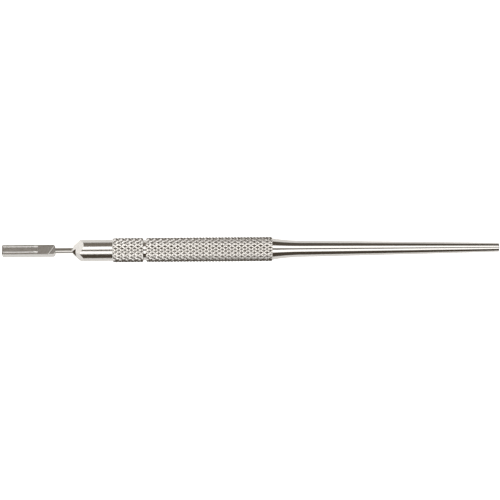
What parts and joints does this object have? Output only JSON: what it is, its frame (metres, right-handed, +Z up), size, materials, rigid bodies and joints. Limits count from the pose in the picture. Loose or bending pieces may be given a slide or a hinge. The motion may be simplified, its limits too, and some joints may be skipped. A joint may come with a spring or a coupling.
{
  "type": "adjustable-angle blade handle",
  "caption": "Slim steel hand tool: flat fitting for slip-on blades on a ball joint, locked by a knurled screw cap, with a knurled grip and a long tapered tail.",
  "frame": {"origin": "middle of the overall length, on the surface that the handle lies on, below its axis", "axes": "+X runs along the handle from the blade fitting to the tail, +Z is up, +Y completes the right-handed frame"},
  "size_m": [0.165, 0.0082, 0.0082],
  "materials": {
    "polished_steel": "polished",
    "knurled_steel": "diamond knurled",
    "satin_steel": "satin, milled",
    "spring_steel": "drawn wire"
  },
  "bodies": {
    "handle": {"grip_barrel": "knurled_steel", "tail_taper": "polished_steel", "clamp_stud": "polished_steel", "thrust_spring": "spring_steel"},
    "follower": {"thrust_cup": "satin_steel"},
    "cap": {"clamp_cap": "polished_steel"},
    "ball": {"swivel_ball": "polished_steel"},
    "blade_holder": {"neck_rod": "polished_steel", "blade_tang": "satin_steel"}
  },
  "joints": [
    {"name": "cap_advance", "type": "slide", "parent": "handle", "child": "follower", "axis": [1, 0, 0], "range_m": [-0.001, 0], "deforming": ["thrust_spring"]},
    {"name": "cap_turn", "type": "hinge", "parent": "follower", "child": "cap", "pos_m": [-0.0406, 0, 0.0041], "axis": [1, 0, 0], "range_deg": [-720, 0]},
    {"name": "ball_swing", "type": "hinge", "parent": "cap", "child": "ball", "pos_m": [-0.05575, 0, 0.0041], "axis": [0, -0.4695, -0.8829], "range_deg": [0, 90]},
    {"name": "neck_spin", "type": "hinge", "parent": "ball", "child": "blade_holder", "pos_m": [-0.05575, 0, 0.0041], "axis": [1, 0, 0], "continuous": true}
  ],
  "couplings": [
    {"joint": "cap_turn", "follows": "cap_advance", "rad_per_m": 12566}
  ]
}
